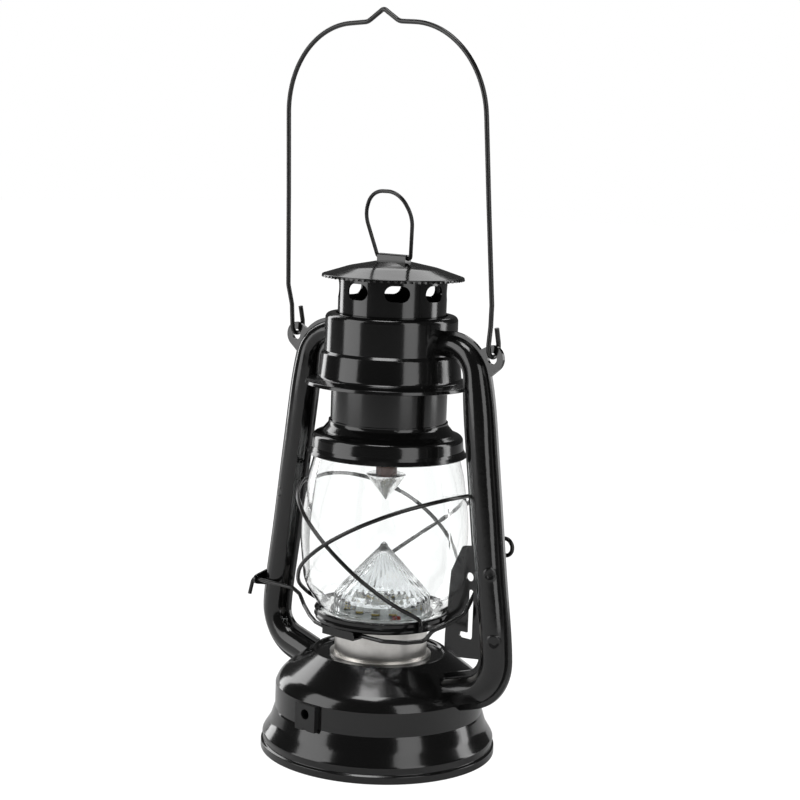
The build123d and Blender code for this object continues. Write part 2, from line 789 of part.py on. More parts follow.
def lift_ring():
    """Wire ring with a straight bar at its foot, which turns in the saddle."""
    outline = [(-0.2, 0, 0), (-ring_half_foot, 0, 0), (-ring_half, 0, 21), (-8.6, 0, ring_height),
               (8.6, 0, ring_height), (ring_half, 0, 21), (ring_half_foot, 0, 0), (0.2, 0, 0)]
    path = FilletPolyline(*outline, radius=[1.6, 14, 12, 12, 14, 1.6])
    wire = sweep(Plane(origin=path @ 0, z_dir=path % 0) * Circle(ring_wire / 2), path=path)
    return Pos(0, 0, bar_height) * Rot(ring_lean, 0, 0) * wire


# ---------------------------------------------------------------- lever and bail

def lift_lever():
    """One bent wire: an end through the left lug, a cross wire under the globe plate, and an
    arm through the slotted bracket to a finger loop behind the right tube."""
    lug_end = -(lug_face() + 2.6)
    crook = 1.3
    through = lever_front - sheet - bracket_thickness / 2
    arm = Vector(0, -through, slot_foot + 17.6 - lever_height).normalized()

    def on_arm(x, reach):
        return (x, lever_front + arm.Y * reach, lever_height + arm.Z * reach)

    behind = tube_depth + lever_wire / 2 + 1.6
    start = [(lug_end - 1.6, lever_front - 0.4, lever_height - 8.5),
             (lug_end, lever_front, lever_height - crook),
             (lug_end + crook, lever_front, lever_height), (-53, lever_front, lever_height),
             (-46.5, -10.2, lever_height - 1.6), (-40, -13.6, lever_height - 5.8),
             (-31, -19, crank_height + 0.7), (-22, -24.5, crank_height), (-14.5, crank_front, crank_height)]
    right = [(24, crank_front, crank_height), (35, -23, crank_height + 0.7),
             (slot_x - 12.5, -17.8, crank_height + 2), (slot_x - 11.6, -13, lever_height - 2.6),
             (slot_x - 7, -10.4, lever_height), on_arm(slot_x, 8), on_arm(slot_x, 22),
             (slot_x + 6, behind, slot_top + 9.1)]
    loop_x, loop_z, loop_radius = slot_x + 12.3, slot_top + 23.2, 4.1
    loop = []
    for i in range(7):
        angle = pi - i * pi / 4
        swell = loop_radius / cos(pi / 8)
        loop.append((loop_x + swell * cos(angle - pi / 8), behind + 0.1 * i,
                     loop_z + swell * sin(angle - pi / 8)))
    entry = [(loop_x - loop_radius, behind, loop_z - 5)]
    return round_wire(start + right + entry + loop, lever_wire, largest=4.5)


def bail_eye(side):
    """Loop through an ear: up both sides of the ear's band, with its free end beside the leg."""
    x = side * ear_reach
    r = bail_eye_radius
    foot = side * bail_foot_half + bail_shift
    top = bail_eye_height
    points = [(x, r * 0.35 + 1.2, top - 3.5), (x, r, r * 0.6), (x, r, -r), (x, -r, -r), (x, -r, r * 0.6),
              (x + 0.35 * (foot - x), -bail_front, top - 2), (foot, -bail_front, top + 8)]
    return points


def bail_handle():
    """Arched wire with a peak at the top and an eye round each ear."""
    leg = (bail_top_half - bail_foot_half) / (bail_shoulder - 12)
    half = [(bail_foot_half + leg * 55, 67.5), (bail_top_half, bail_shoulder), (9.8, bail_shoulder + 2.4)]
    left = [(-x + bail_shift * min(1, x / 40), -bail_front, z) for x, z in half]
    right = [(x + bail_shift * min(1, x / 40), -bail_front, z) for x, z in reversed(half)]
    outline = bail_eye(-1) + left + [(0, -bail_front, bail_height + 1)] + right + bail_eye(1)[::-1]
    r = bail_eye_radius
    eye = [3.0, r * 0.98, r * 0.98, 3.0, 3.0, 5.0]
    radii = eye + [60, 44, 7, 2.6, 7, 44, 60] + eye[::-1]
    path = FilletPolyline(*outline, radius=radii)
    section = Plane(origin=path @ 0, z_dir=path % 0) * Circle(bail_wire / 2)
    wire = sweep(section, path=path)
    return Pos(0, 0, pivot_height) * Rot(bail_lean, 0, 0) * wire


# ---------------------------------------------------------------- write every sub-part

tube = right_tube()
right_front, right_back = halves(tube)

SUBPARTS = {
    "base_shell": base_shell, "bottom_cover": bottom_cover, "cover_screws": cover_screws,
    "inner_chassis": inner_chassis, "battery_holder": battery_holder,
    "battery_cells": battery_cells, "battery_contacts": battery_contacts,
    "control_board": control_board, "led_wires": led_wires, "charging_jack": charging_jack,
    "switch_housing": switch_housing, "switch_button": switch_button,
    "collar_ring": collar_ring, "led_board": led_board, "leds": leds, "lens_cone": lens_cone,
    "right_tube_front": lambda: right_front, "right_tube_back": lambda: right_back,
    "left_tube_front": lambda: mirror(right_front, Plane.YZ),
    "left_tube_back": lambda: mirror(right_back, Plane.YZ),
    "lever_bracket": lever_bracket, "lever_lug": lever_lug, "canopy": canopy,
    "return_spring": return_spring, "spring_seat": spring_seat, "globe_plate": globe_plate,
    "wire_strap": wire_strap, "reflector_tray": reflector_tray, "globe_glass": globe_glass,
    "guard_hoop_right": lambda: guard_hoop(1), "guard_hoop_left": lambda: guard_hoop(-1),
    "chimney_tube": chimney_tube, "bell": bell, "deflector_plate": deflector_plate,
    "reflector_stem": reflector_stem, "reflector_cone": reflector_cone, "cap": cap,
    "ring_saddle": ring_saddle, "lift_ring": lift_ring, "lift_lever": lift_lever,
    "bail_handle": bail_handle,
}

for name, make in SUBPARTS.items():
    save(make(), name)
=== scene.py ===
"""Barn lantern: the visual model and its studio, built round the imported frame, in metres."""
import bpy
import numpy as np
from mathutils import Matrix, Vector


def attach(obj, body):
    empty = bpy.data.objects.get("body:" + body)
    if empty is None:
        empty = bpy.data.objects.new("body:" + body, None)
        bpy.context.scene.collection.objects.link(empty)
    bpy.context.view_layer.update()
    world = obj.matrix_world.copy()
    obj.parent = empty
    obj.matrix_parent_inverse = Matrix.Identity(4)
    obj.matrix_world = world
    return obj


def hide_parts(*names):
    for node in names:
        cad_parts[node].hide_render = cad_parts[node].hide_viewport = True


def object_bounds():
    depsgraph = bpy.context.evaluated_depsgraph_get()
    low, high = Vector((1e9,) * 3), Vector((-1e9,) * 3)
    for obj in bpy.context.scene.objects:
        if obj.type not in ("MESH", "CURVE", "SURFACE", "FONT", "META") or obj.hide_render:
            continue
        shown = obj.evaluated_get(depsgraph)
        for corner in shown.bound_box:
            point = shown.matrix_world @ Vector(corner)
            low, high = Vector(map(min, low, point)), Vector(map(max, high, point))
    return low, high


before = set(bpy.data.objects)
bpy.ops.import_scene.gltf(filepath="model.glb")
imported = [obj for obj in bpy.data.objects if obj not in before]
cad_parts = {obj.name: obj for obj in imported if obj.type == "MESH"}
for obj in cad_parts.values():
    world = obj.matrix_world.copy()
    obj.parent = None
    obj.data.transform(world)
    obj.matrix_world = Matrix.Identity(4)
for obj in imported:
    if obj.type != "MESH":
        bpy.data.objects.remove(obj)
cad_low, cad_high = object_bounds()
MM = 0.001
LAMP_AIM = 0.16          # height on the axis that every soft box faces
LENS_TIP = 0.1046        # height of the cone lens's point
DECK = 71.4              # top of the light board, in millimetres


# ---------------------------------------------------------------- camera, floor and light

def add_camera():
    """A level studio camera turned a little about its own axis, 0.88 m from the lantern."""
    azimuth, heading, pitch, roll = np.radians((40.0, 39.65, 7.93, 2.04))
    distance, height = 0.8807, 0.2981
    eye = Vector((distance * np.sin(azimuth), -distance * np.cos(azimuth), height))
    forward = Vector((-np.sin(heading) * np.cos(pitch), np.cos(heading) * np.cos(pitch),
                      -np.sin(pitch)))
    right = forward.cross(Vector((0, 0, 1))).normalized()
    up = right.cross(forward)
    turned_right = right * np.cos(roll) + up * np.sin(roll)
    turned_up = up * np.cos(roll) - right * np.sin(roll)
    place = Matrix((turned_right, turned_up, -forward)).transposed().to_4x4()
    place.translation = eye
    lens = bpy.data.cameras.new("studio_camera")
    lens.lens = 81.6
    lens.sensor_width = 36.0
    camera = bpy.data.objects.new("studio_camera", lens)
    camera.matrix_world = place
    bpy.context.scene.collection.objects.link(camera)
    bpy.context.scene.camera = camera


def soft_box(name, azimuth, elevation, distance, size, power):
    """A rectangular lamp at an azimuth and elevation in degrees, facing the lantern."""
    angle, rise = np.radians((azimuth, elevation))
    offset = Vector((np.sin(angle) * np.cos(rise), -np.cos(angle) * np.cos(rise), np.sin(rise)))
    lamp = bpy.data.lights.new(name, "AREA")
    lamp.shape = "RECTANGLE"
    lamp.size, lamp.size_y = size
    lamp.energy = power
    holder = bpy.data.objects.new(name, lamp)
    holder.location = Vector((0, 0, LAMP_AIM)) + offset * distance
    holder.rotation_euler = (-offset).to_track_quat("-Z", "Y").to_euler()
    bpy.context.scene.collection.objects.link(holder)


def by_ray(tree, mirrored, seen):
    """One level for what is looked at or through, and another for what is mirrored."""
    rays = tree.nodes.new("ShaderNodeLightPath")
    either = tree.nodes.new("ShaderNodeMath")
    either.operation = "MAXIMUM"
    tree.links.new(rays.outputs["Is Camera Ray"], either.inputs[0])
    tree.links.new(rays.outputs["Is Transmission Ray"], either.inputs[1])
    level = tree.nodes.new("ShaderNodeMapRange")
    level.inputs["To Min"].default_value = mirrored
    level.inputs["To Max"].default_value = seen
    tree.links.new(either.outputs[0], level.inputs["Value"])
    return level.outputs[0]


def add_world():
    """White behind everything that is looked at or through, and dim for what is mirrored."""
    world = bpy.data.worlds.new("studio")
    bpy.context.scene.world = world
    world.use_nodes = True
    tree = world.node_tree
    back = tree.nodes["Background"]
    back.inputs["Color"].default_value = (1, 1, 1, 1)
    tree.links.new(by_ray(tree, 0.055, 1.0), back.inputs["Strength"])


def add_floor():
    """A wide pale floor at the lantern's foot: it glows where it is seen and is dull in mirrors."""
    mesh = bpy.data.meshes.new("floor")
    half = 6.0
    corners = [(-half, -half, 0), (half, -half, 0), (half, half, 0), (-half, half, 0)]
    mesh.from_pydata(corners, [], [(0, 1, 2, 3)])
    floor = bpy.data.objects.new("floor", mesh)
    bpy.context.scene.collection.objects.link(floor)
    floor.location.z = cad_low.z - 0.0002
    material = bpy.data.materials.new("floor_paper")
    material.use_nodes = True
    tree = material.node_tree
    tree.nodes.clear()
    paper = tree.nodes.new("ShaderNodeBsdfDiffuse")
    paper.inputs["Color"].default_value = (0.80, 0.80, 0.80, 1)
    glow = tree.nodes.new("ShaderNodeEmission")
    glow.inputs["Strength"].default_value = 1.15
    mix = tree.nodes.new("ShaderNodeMixShader")
    out = tree.nodes.new("ShaderNodeOutputMaterial")
    tree.links.new(by_ray(tree, 0.04, 0.9), mix.inputs[0])
    tree.links.new(paper.outputs[0], mix.inputs[1])
    tree.links.new(glow.outputs[0], mix.inputs[2])
    tree.links.new(mix.outputs[0], out.inputs[0])
    mesh.materials.append(material)


add_camera()
add_world()
add_floor()
soft_box("left_box", -31, 14, 1.35, (0.85, 1.35), 9.0)
soft_box("front_box", 74, 14, 1.35, (0.60, 1.35), 5.5)
soft_box("right_box", 140, 12, 1.35, (0.35, 1.3), 5.5)
soft_box("back_left_box", -95, 12, 1.35, (0.35, 1.3), 5.0)
soft_box("back_box", 225, 44, 1.4, (1.4, 0.7), 4.5)
soft_box("top_box", 10, 76, 1.3, (0.5, 0.5), 5)
bpy.context.scene.view_settings.view_transform = "Standard"


# ---------------------------------------------------------------- finishes

class Value:
    """A number or colour that flows through a material. Operators on it add Math nodes."""

    def __init__(self, finish, socket):
        self.finish = finish
        self.socket = socket

    def _math(self, operation, first, second):
        return self.finish.node("Math", {"operation": operation}, {0: first, 1: second})

    def __add__(self, other):
        return self._math("ADD", self, other)

    __radd__ = __add__

    def __sub__(self, other):
        return self._math("SUBTRACT", self, other)

    def __rsub__(self, other):
        return self._math("SUBTRACT", other, self)

    def __mul__(self, other):
        return self._math("MULTIPLY", self, other)

    __rmul__ = __mul__

    def __gt__(self, other):
        return self._math("GREATER_THAN", self, other)

    def between(self, low, high):
        """0 below low and 1 above high, with a smooth step between."""
        settings = {"interpolation_type": "SMOOTHSTEP"}
        return self.finish.node("MapRange", settings,
                                {"Value": self, "From Min": low, "From Max": high})


class Finish:
    """One material. node() adds any node: its settings are set first, then its sockets."""

    def __init__(self, name, **constants):
        self.material = bpy.data.materials.new(name)
        self.material.use_nodes = True
        self.tree = self.material.node_tree
        self.shader = self.tree.nodes["Principled BSDF"]
        self.feed(self.shader, constants)

    def node(self, kind, settings=None, inputs=None, out=0):
        made = self.tree.nodes.new("ShaderNode" + kind)
        for key, value in (settings or {}).items():
            setattr(made, key, value)
        self.feed(made, inputs or {})
        return Value(self, made.outputs[out])

    def feed(self, node, inputs):
        for key, value in inputs.items():
            socket = node.inputs[key.replace("_", " ") if isinstance(key, str) else key]
            if isinstance(value, Value):
                self.tree.links.new(value.socket, socket)
            else:
                socket.default_value = value

    def surface(self, **inputs):
        self.feed(self.shader, inputs)
        return self

    def place(self, scale=(1, 1, 1)):
        """Object coordinates, stretched by scale."""
        spot = self.node("TexCoord", out=3)
        return self.node("Mapping", None, {"Vector": spot, "Scale": scale})

    def noise(self, size, scale=(1, 1, 1), detail=3.0, rough=0.5):
        """Noise from 0 to 1 whose grains are about size metres."""
        return self.node("TexNoise", None, {"Vector": self.place(scale), "Scale": 1 / size,
                                            "Detail": detail, "Roughness": rough})

    def specks(self, spacing, radius):
        """1 on scattered dots of about that radius, 0 elsewhere."""
        cell = self.node("TexVoronoi", None, {"Vector": self.place(), "Scale": 1 / spacing})
        chosen = self.noise(spacing * 3) > 0.62
        return (1 - cell.between(0, radius / spacing)) * chosen

    def mix(self, share, first, second):
        """Colour between two colours."""
        made = self.tree.nodes.new("ShaderNodeMix")
        made.data_type = "RGBA"
        self.feed(made, {0: share, 6: first, 7: second})
        return Value(self, made.outputs[2])

    def bump(self, height, depth, strength=1.0):
        return self.node("Bump", None, {"Height": height, "Distance": depth, "Strength": strength})


def grey(level, warm=0.0):
    return (level * (1 + warm), level, level * (1 - warm), 1)


def black_enamel(name="black_enamel", dents=()):
    """Glossy stoved enamel: faint orange peel, cloudy gloss, stray dust and thin spots.
    dents are the centre, radius and depth share of round press marks, each with a raised lip:
    their height is s(d, 0.4 r, r) - 0.5 s(d, r, 1.4 r), where s(d, low, high) is a smooth step of
    the distance d."""
    finish = Finish(name, Coat_Weight=0.25, Coat_Roughness=0.06)
    peel = finish.noise(0.0022, detail=2.0) + finish.noise(0.014, detail=2.0) * 1.6
    for centre, radius, depth in dents:
        away = finish.node("VectorMath", {"operation": "DISTANCE"},
                           {0: finish.place(), 1: centre}, out=1)
        away = away + (finish.noise(0.002) - 0.5) * (0.5 * radius)
        lip = away.between(radius, 1.4 * radius) * 0.5
        peel = peel + (away.between(0.4 * radius, radius) - lip) * depth
    cloud = finish.noise(0.018, detail=4.0)
    dust = finish.specks(0.0022, 0.00010)
    colour = finish.mix(dust, grey(0.005), grey(0.20, 0.04))
    colour = finish.mix(finish.noise(0.0011).between(0.68, 0.8) * 0.35, colour, grey(0.016))
    return finish.surface(Base_Color=colour, Roughness=0.10 + cloud * 0.09 + dust * 0.4,
                          Normal=finish.bump(peel, 0.00002, 0.6))


def wire_coating():
    """Satin dark coating on drawn wire, with rubbed patches."""
    finish = Finish("wire_coating", Coat_Weight=0.25, Coat_Roughness=0.25)
    patch = finish.noise(0.012, detail=5.0)
    rubbed = finish.noise(0.006, detail=4.0).between(0.66, 0.8)
    colour = finish.mix(patch, grey(0.008), grey(0.020, 0.03))
    colour = finish.mix(rubbed * 0.3, colour, grey(0.06, 0.04))
    return finish.surface(Base_Color=colour, Metallic=0.25 + rubbed * 0.3,
                          Roughness=0.21 + patch * 0.08)


def brushed_nickel():
    """Nickel brushed round the ring: long level streaks, soft stains and a warm tint."""
    finish = Finish("brushed_nickel", Metallic=1.0, Anisotropic=0.55)
    streak = finish.noise(0.0022, scale=(0.05, 0.05, 14.0), detail=6.0, rough=0.65)
    stain = finish.noise(0.010, detail=4.0)
    colour = finish.mix(stain.between(0.35, 0.7), (0.78, 0.76, 0.73, 1), (0.60, 0.58, 0.55, 1))
    colour = finish.mix(streak.between(0.3, 0.75) * 0.5, colour, (0.90, 0.89, 0.87, 1))
    return finish.surface(Base_Color=colour, Roughness=0.24 + streak * 0.16 + stain * 0.06,
                          Normal=finish.bump(streak, 0.00003, 0.7))


def blown_glass():
    """Clear glass with the faint waviness of a blown wall and a little dust."""
    finish = Finish("blown_glass", Transmission_Weight=1.0, IOR=1.46)
    wave = finish.noise(0.035, detail=1.0)
    dust = finish.specks(0.004, 0.00010)
    return finish.surface(Base_Color=finish.mix(dust, (0.985, 0.995, 0.992, 1), grey(0.75)),
                          Roughness=dust * 0.3, Normal=finish.bump(wave, 0.0004, 0.03))


def fluted_acrylic():
    """Clear acrylic, a little uneven from its mould, greyed on its ridges and clear below them."""
    finish = Finish("fluted_acrylic", Transmission_Weight=1.0, IOR=1.49)
    flow = finish.noise(0.006, detail=3.0)
    below_tip = finish.node("VectorMath", {"operation": "DISTANCE"},
                            {0: finish.place(), 1: (0, 0, LENS_TIP)}, out=1)
    plain = below_tip.between(0.020, 0.026)
    colour = finish.mix(flow, (0.97, 0.98, 0.985, 1), (0.90, 0.92, 0.93, 1))
    return finish.surface(Base_Color=colour, Roughness=0.15 - plain * 0.11 + flow * 0.04,
                          Normal=finish.bump(flow, 0.0002, 0.05))


def bright_foil():
    """Metallised plastic: mirror bright, with soft dents and dull patches."""
    finish = Finish("bright_foil", Metallic=1.0)
    dent = finish.noise(0.005, detail=4.0, rough=0.6)
    dull = finish.noise(0.003, detail=3.0).between(0.4, 0.75)
    return finish.surface(Base_Color=finish.mix(dull, grey(0.88), grey(0.62, 0.02)),
                          Roughness=0.08 + dull * 0.25, Normal=finish.bump(dent, 0.0008, 0.6))


def plain(name, colour, roughness, grain_size=0.0012, grain_depth=0.00004, **constants):
    """A moulded or painted surface with a fine grain and slight colour drift."""
    finish = Finish(name, **constants)
    drift = finish.noise(grain_size * 12, detail=4.0)
    grain = finish.noise(grain_size, detail=3.0)
    darker = tuple(0.78 * part for part in colour[:3]) + (1,)
    return finish.surface(Base_Color=finish.mix(drift, darker, colour),
                          Roughness=roughness + drift * 0.12,
                          Normal=finish.bump(grain, grain_depth, 0.7))


def circuit_board():
    """Solder mask with pale tracks and pads."""
    finish = Finish("circuit_board")
    track = finish.node("TexBrick", {"offset": 0.5}, {
        "Vector": finish.place(), "Scale": 260.0, "Mortar Size": 0.03, "Color1": grey(0.02),
        "Color2": grey(0.04), "Mortar": grey(0.9)})
    colour = finish.mix(track * 0.5, (0.62, 0.65, 0.64, 1), (0.82, 0.83, 0.80, 1))
    return finish.surface(Base_Color=colour, Roughness=0.35 + track * 0.2)


def clear_lamp():
    """Clear epoxy of the lamps."""
    finish = Finish("clear_lamp", Transmission_Weight=1.0, IOR=1.5)
    drift = finish.noise(0.002)
    colour = finish.mix(drift, (0.97, 0.98, 0.95, 1), (0.93, 0.94, 0.90, 1))
    return finish.surface(Base_Color=colour, Roughness=0.03 + drift * 0.04)


ENAMEL = black_enamel()
TUBE_ENAMEL = black_enamel("tube_enamel", [
    ((0.0703, -0.0056, 0.1010), 0.0026, 45), ((0.0743, -0.0058, 0.0690), 0.0028, 50),
    ((-0.0660, -0.0070, 0.1200), 0.0024, 16), ((-0.0685, 0.0070, 0.0800), 0.0026, 20),
    ((0.0640, 0.0070, 0.1300), 0.0024, 16)])
WIRE = wire_coating()
NICKEL = brushed_nickel()
GLASS = blown_glass()
ACRYLIC = fluted_acrylic()
FOIL = bright_foil()
BOARD = circuit_board()
LAMP = clear_lamp()
BLACK_PLASTIC = plain("black_plastic", grey(0.012), 0.30)
GREY_PLASTIC = plain("grey_plastic", grey(0.20), 0.45)
ZINC = plain("zinc_plate", grey(0.55, 0.02), 0.30, Metallic=1.0)
CELL = plain("cell_sleeve", (0.08, 0.25, 0.13, 1), 0.30)
BRASS = plain("contact_brass", (0.75, 0.58, 0.27, 1), 0.30, Metallic=1.0)
LEAD = plain("lead_sleeve", (0.42, 0.03, 0.03, 1), 0.45)
LACQUER = plain("brown_lacquer", (0.10, 0.045, 0.035, 1), 0.35)
PHOSPHOR = plain("lamp_phosphor", (0.86, 0.66, 0.10, 1), 0.55)
RED_PART = plain("red_part", (0.55, 0.06, 0.03, 1), 0.40)
BLUE_PART = plain("blue_part", (0.25, 0.33, 0.45, 1), 0.40)


# ---------------------------------------------------------------- surfaces

def bent(points, radii, steps=10):
    """A line through points with a true arc at each corner: from each tangent point it goes
    R sin(t) along the incoming run and R (1 - cos(t)) across it, for t from 0 to the turn."""
    points = np.asarray(points, float)
    line = [points[:1]]
    for index in range(1, len(points) - 1):
        before, corner, after = points[index - 1:index + 2]
        run_in, run_out = corner - before, after - corner
        run_in, run_out = run_in / np.linalg.norm(run_in), run_out / np.linalg.norm(run_out)
        turn = np.arccos(np.clip(run_in @ run_out, -1, 1))
        radius = radii[index - 1]
        if radius <= 0 or turn < 1e-4:
            line.append(corner[None])
            continue
        across = run_out - run_in * (run_in @ run_out)
        across /= np.linalg.norm(across)
        angle = np.linspace(0, turn, steps)[:, None]
        start = corner - run_in * radius * np.tan(turn / 2)
        line.append(start + run_in * radius * np.sin(angle) + across * radius * (1 - np.cos(angle)))
    line.append(points[-1:])
    return np.concatenate(line)


def outward(vertices, faces):
    """The faces, turned round if they enclose a negative volume."""
    corners = [vertices[[face[k] for face in faces]] for k in (0, 1, 2)]
    volume = np.sum(corners[0] * np.cross(corners[1], corners[2]))
    last = [face for face in faces if len(face) == 4]
    if last:
        quad = vertices[np.array(last)]
        volume += np.sum(quad[:, 0] * np.cross(quad[:, 2], quad[:, 3]))
    return [face[::-1] for face in faces] if volume < 0 else faces


def grid_faces(rows, columns, wrap_rows):
    """Quads of a grid that closes round its columns, and round its rows if wrap_rows."""
    row = np.arange(rows if wrap_rows else rows - 1)[:, None]
    column = np.arange(columns)[None, :]
    next_row, next_column = (row + 1) % rows, (column + 1) % columns
    quads = np.stack([row * columns + column, row * columns + next_column,
                      next_row * columns + next_column, next_row * columns + column], axis=-1)
    return quads.reshape(-1, 4).tolist()


def solid_of(surface, wrap_rows=False):
    """Vertices and outward faces of a grid [row, column, xyz]. Open rows end in poles."""
    rows, columns, _ = surface.shape
    vertices = surface.reshape(-1, 3)
    faces = grid_faces(rows, columns, wrap_rows)
    if not wrap_rows:
        poles = np.stack([surface[0].mean(axis=0), surface[-1].mean(axis=0)])
        first, last = rows * columns, rows * columns + 1
        base = (rows - 1) * columns
        around = np.arange(columns)
        following = (around + 1) % columns
        faces += np.stack([following, around, np.full(columns, first)], axis=1).tolist()
        faces += np.stack([base + around, base + following, np.full(columns, last)],
                          axis=1).tolist()
        vertices = np.concatenate([vertices, poles])
    return vertices, outward(vertices, faces)


def piece(name, solids, finish, body, slot, *nodes, sharp=35):
    """One object from several solids, on a body, standing for the CAD nodes named."""
    vertices, faces, count = [], [], 0
    for points, polygons in solids:
        vertices.append(points)
        faces += [[index + count for index in polygon] for polygon in polygons]
        count += len(points)
    mesh = bpy.data.meshes.new(name)
    mesh.from_pydata(np.concatenate(vertices).tolist(), [], faces)
    mesh.shade_smooth()
    mesh.set_sharp_from_angle(angle=np.radians(sharp))
    mesh.materials.append(finish.material)
    made = bpy.data.objects.new(name, mesh)
    bpy.context.scene.collection.objects.link(made)
    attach(made, body)
    if nodes:
        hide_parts(*nodes)


def lathe(profile, columns):
    """A profile of (radius, height) turned about Z: x = r cos(a), y = r sin(a), z = height.
    A profile that starts and ends on the axis closes in poles; any other is a closed loop."""
    profile = np.asarray(profile, float)
    on_axis = profile[0, 0] < 1e-7 and profile[-1, 0] < 1e-7
    if on_axis:
        profile = profile[1:-1]
    angle = np.linspace(0, 2 * np.pi, columns, endpoint=False)
    radius, height = profile[:, :1], profile[:, 1:2]
    surface = np.stack([radius * np.cos(angle), radius * np.sin(angle),
                        np.broadcast_to(height, (len(profile), columns))], axis=-1)
    return surface, not on_axis


def turned(points, radii, columns):
    """Solid of revolution inside a closed outline given in millimetres, its corners rounded."""
    looped = np.asarray(points + points[:2], float) * MM
    line = bent(looped, [radius * MM for radius in radii[1:] + radii[:1]])
    surface, wrap = lathe(line[1:-1], columns)
    return solid_of(surface, wrap)


def finish_nodes(finish, *names):
    """Gives CAD nodes whose shape is kept their finish."""
    for name in names:
        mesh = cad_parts[name].data
        mesh.materials.clear()
        mesh.materials.append(finish.material)


# ---------------------------------------------------------------- light and reflectors

def wave(angle, height, seed):
    """A repeatable wrinkle field: the mean of six sin(n a + p z + phase) terms, from -1 to 1."""
    random = np.random.default_rng(seed)
    total = 0
    for _ in range(6):
        turns = random.integers(2, 9)
        pitch, phase = random.uniform(-900, 900), random.uniform(0, 6.28)
        total = total + np.sin(turns * angle + pitch * height + phase)
    return total / 6


def fluted_lens():
    """Cone lens over the lamps. Its outer radius is r + d (|cos(19 a)| - 0.64), which makes 38
    ridges. d grows with r to 0.2 mm at r = 9 mm, and is 0 above the ridges' top and inside."""
    half_waves, mean_of_ridge = 19, 0.64
    ridge_depth, full_depth_radius, ridge_top = 0.0002, 0.009, 0.1012
    columns, step = 380, 0.0012
    outer = np.array([(0, 104.6), (0.7, 104.2), (1.9, 102.9), (1.95, 102.4), (2.2, 102.0),
                      (3.2, 100.9), (22.4, 80.2), (23.7, 78.0), (24.1, 75.6), (24.1, 71.5)]) * MM
    inner = np.array([(22.6, 71.5), (22.6, 76.4), (21.2, 77.6), (1.4, 98.2), (0, 98.6)]) * MM
    outer = bent(outer, np.array([0.3, 0.2, 0.1, 0.1, 0.4, 1.6, 1.5, 0.01]) * MM, steps=4)
    dense = []
    for before, after in zip(outer, outer[1:]):
        count = max(1, int(np.linalg.norm(after - before) / step))
        along = np.linspace(0, 1, count, endpoint=False)[:, None]
        dense.append(before + (after - before) * along)
    outer = np.concatenate(dense + [outer[-1:]])
    profile = np.concatenate([outer, inner])
    surface, wrap = lathe(profile, columns)
    radius, height = profile[1:-1, 0], profile[1:-1, 1]
    angle = np.linspace(0, 2 * np.pi, columns, endpoint=False)
    ridge = np.abs(np.cos(half_waves * angle)) - mean_of_ridge
    fluted = (np.arange(len(radius)) < len(outer) - 1) & (height < ridge_top)
    depth = np.where(fluted, ridge_depth * np.clip(radius / full_depth_radius, 0, 1), 0)
    factor = 1 + depth[:, None] * ridge / np.maximum(radius[:, None], 1e-5)
    surface[..., :2] *= factor[..., None]
    piece("fluted_lens", [solid_of(surface, wrap)], ACRYLIC, "root", "lens_clear", "lens_cone",
          sharp=25)


def lamp_places():
    """Centres of the lamps: twelve, five and one."""
    places = [(0.0, 0.0)]
    for radius, count in ((17.0, 12), (8.5, 5)):
        places += [(radius * np.cos(2 * np.pi * i / count), radius * np.sin(2 * np.pi * i / count))
                   for i in range(count)]
    return places


def block(x, y, z, size, turn=0.0):
    """A small box with eased edges, centred at x, y and standing on z, in millimetres."""
    wide, deep, high = size
    ease = 0.12 * min(size)
    rows = []
    for inset, level in ((ease, 0), (0, ease), (0, high - ease), (ease, high)):
        a, b, c = wide / 2 - inset, deep / 2 - inset, ease
        ring = [(a - c, -b), (a, -b + c), (a, b - c), (a - c, b), (-a + c, b), (-a, b - c),
                (-a, -b + c), (-a + c, -b)]
        rows.append([(p * np.cos(turn) - q * np.sin(turn) + x,
                      p * np.sin(turn) + q * np.cos(turn) + y, z + level) for p, q in ring])
    return solid_of(np.array(rows) * MM)


def board_details():
    """Phosphor dies in the lamps, and the resistors and pads between them."""
    low, high, radius = DECK + 0.4, DECK + 1.1, 1.25
    vertices, faces = turned([(0, low), (radius, low), (radius, high), (0, high)],
                             [0, 0.1, 0.1, 0], 20)
    dies = [(vertices + np.array([x, y, 0]) * MM, faces) for x, y in lamp_places()]
    piece("lamp_dies", dies, PHOSPHOR, "root", "led_clear")
    random = np.random.default_rng(7)
    groups = {"red": [], "blue": [], "pad": []}
    part_count, clear_of_lamps = 26, 3.6
    for i in range(part_count):
        angle, radius = i * 0.83, (12.6, 20.6, 4.4)[i % 3]
        x, y = radius * np.cos(angle), radius * np.sin(angle)
        if min(np.hypot(x - p, y - q) for p, q in lamp_places()) < clear_of_lamps:
            continue
        kind = ("pad", "pad", "red", "pad", "blue")[i % 5]
        size = (1.6, 0.8, 0.5) if kind == "pad" else (2.0, 1.2, 0.9)
        groups[kind].append(block(x, y, DECK, size, angle + random.uniform(-0.2, 0.2)))
    for kind, finish in (("red", RED_PART), ("blue", BLUE_PART), ("pad", ZINC)):
        piece(kind + "_parts", groups[kind], finish, "root", "circuit_board")


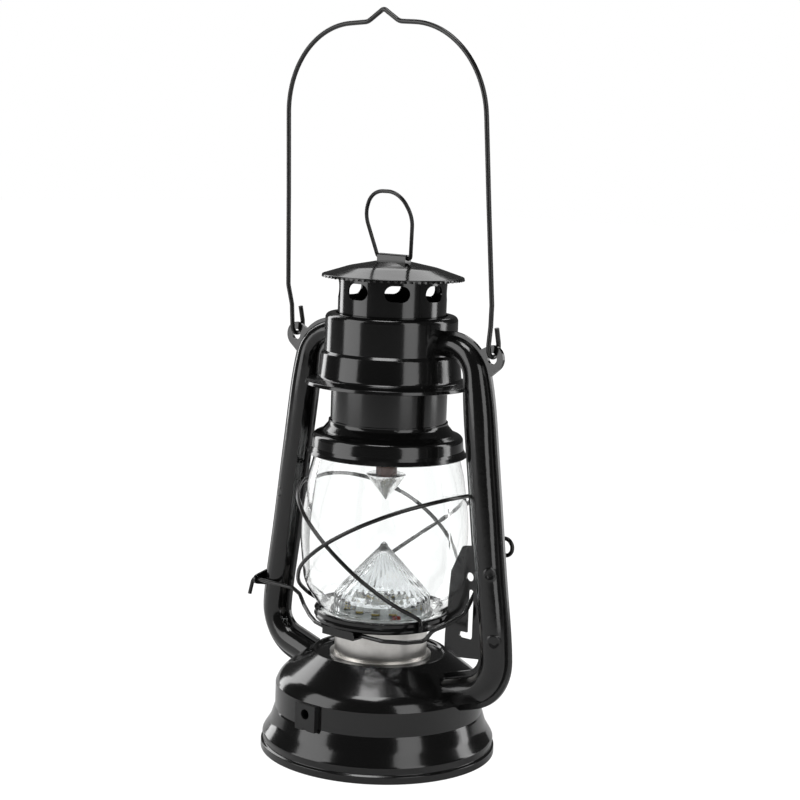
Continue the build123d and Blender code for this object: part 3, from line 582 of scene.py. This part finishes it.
def foil_cone():
    """Upper reflector: a cone of wrinkled foil. Its radius is r (1 + 0.05 w(a, z)) for the
    wrinkle field w, which fades out over the last millimetre below the rolled rim."""
    columns = 96
    profile = np.array([(0, 138.75), (9.4, 138.75), (9.9, 138.4), (9.6, 137.6)]
                       + [(9.6 - 9.2 * t, 137.6 - 11.6 * t) for t in np.linspace(0.06, 0.97, 22)]
                       + [(0.25, 125.75), (0, 125.6)]) * MM
    surface, wrap = lathe(profile, columns)
    angle = np.linspace(0, 2 * np.pi, columns, endpoint=False)[None, :]
    height = profile[1:-1, 1:2]
    depth = np.clip((0.1382 - height) / 0.001, 0, 1) * 0.05
    surface[..., :2] *= (1 + depth * wave(angle, height, 3))[..., None]
    piece("foil_cone", [solid_of(surface, wrap)], FOIL, "chimney", "bright_foil",
          "reflector_cone", sharp=50)


def crimped_cap():
    """Cap over the drum. Its turned edge has 64 crimp teeth: the radius is r + 0.18 cos(64 a) mm
    and the edge drops by 0.15 (1 + cos(64 a + 1.2)) mm. Both fade out within 1 mm of the edge.
    The cone has spinning waves 0.02 mm high."""
    teeth, tooth_reach, tooth_drop, drop_shift = 64, 0.00018, 0.00015, 1.2
    sheet, columns = 0.0008, 512
    outline = np.array([(34.7, 235.2), (34.7, 236.4), (21.85, 240.6), (9, 243.2),
                        (0, 243.2)]) * MM
    outer = bent(outline, np.array([0.5, 30, 6]) * MM, steps=8)
    outer = np.concatenate([outer[:-1], np.linspace(outer[-2], outer[-1], 6)[1:]])
    steps = np.concatenate([[0], np.cumsum(np.linalg.norm(np.diff(outer, axis=0), axis=1))])
    even = np.unique(np.concatenate([steps, np.linspace(0, steps[-1], 40)]))
    outer = np.stack([np.interp(even, steps, outer[:, 0]),
                      np.interp(even, steps, outer[:, 1])], axis=1)
    normal = np.gradient(outer, axis=0)
    normal = np.stack([normal[:, 1], -normal[:, 0]], axis=1)
    normal /= np.linalg.norm(normal, axis=1, keepdims=True)
    inner = outer - normal * sheet
    inner[-1] = (0, outer[-1, 1] - sheet)
    profile = np.concatenate([outer[::-1], inner])
    surface, wrap = lathe(profile, columns)
    angle = np.linspace(0, 2 * np.pi, columns, endpoint=False)[None, :]
    radius, height = profile[1:-1, :1], profile[1:-1, 1:2]
    edge = np.clip((radius - 0.0337) / 0.0008, 0, 1) * np.clip((0.2362 - height) / 0.0008, 0, 1)
    surface[..., :2] *= (1 + tooth_reach * edge * np.cos(teeth * angle) / radius)[..., None]
    surface[..., 2] -= tooth_drop * edge * (1 + np.cos(teeth * angle + drop_shift))
    surface[..., 2] += 0.00002 * wave(angle, radius, 11) * (1 - edge)
    piece("crimped_cap", [solid_of(surface, wrap)], ENAMEL, "chimney", "black_enamel", "cap",
          sharp=40)


fluted_lens()
board_details()
foil_cone()
crimped_cap()


# ---------------------------------------------------------------- CAD pieces kept as they are

finish_nodes(ENAMEL, "base_shell", "canopy", "bell", "chimney_tube", "globe_plate", "ring_saddle",
             "lever_bracket", "lever_lug", "deflector_plate", "spring_seat", "wire_strap")
finish_nodes(TUBE_ENAMEL, "right_tube_front", "right_tube_back", "left_tube_front",
             "left_tube_back")
finish_nodes(WIRE, "bail_handle", "lift_ring", "guard_hoop_left", "guard_hoop_right",
             "lift_lever")
finish_nodes(NICKEL, "collar_ring")
finish_nodes(GLASS, "globe_glass")
finish_nodes(FOIL, "reflector_tray")
finish_nodes(BOARD, "led_board", "control_board")
finish_nodes(LAMP, "leds")
finish_nodes(BLACK_PLASTIC, "charging_jack", "switch_button", "switch_housing")
finish_nodes(GREY_PLASTIC, "inner_chassis", "battery_holder", "bottom_cover")
finish_nodes(ZINC, "cover_screws", "return_spring")
finish_nodes(CELL, "battery_cells")
finish_nodes(BRASS, "battery_contacts")
finish_nodes(LEAD, "led_wires")
finish_nodes(LACQUER, "reflector_stem")
